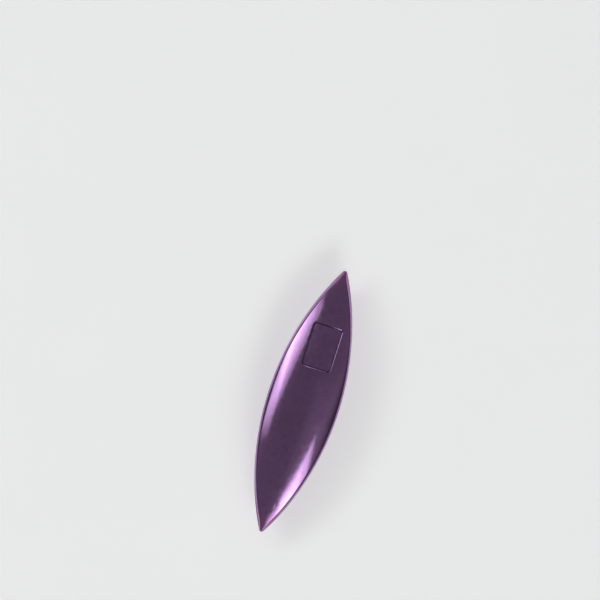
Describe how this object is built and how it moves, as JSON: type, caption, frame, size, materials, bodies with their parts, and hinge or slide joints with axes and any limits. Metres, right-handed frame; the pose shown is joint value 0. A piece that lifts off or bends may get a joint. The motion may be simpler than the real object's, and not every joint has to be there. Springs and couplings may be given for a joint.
{
  "type": "tatting shuttle",
  "caption": "Pointed leaf-shaped metal tatting shuttle: two bowed blades meet at their tips, held apart by a central post with a thread hole.",
  "frame": {"origin": "centre of the post, on the axis of its thread hole, midway between the blades", "axes": "+X along the shuttle from tip to tip, +Y across it along the thread hole, +Z square to the blades from the lower one to the upper one"},
  "size_m": [0.064, 0.017, 0.0124],
  "materials": {
    "anodised_blade": "satin purple anodised, fine grain",
    "anodised_post": "satin purple anodised, turned marks in the hole"
  },
  "bodies": {
    "root": {"upper_blade": "anodised_blade", "lower_blade": "anodised_blade", "centre_post": "anodised_post"}
  },
  "joints": []
}
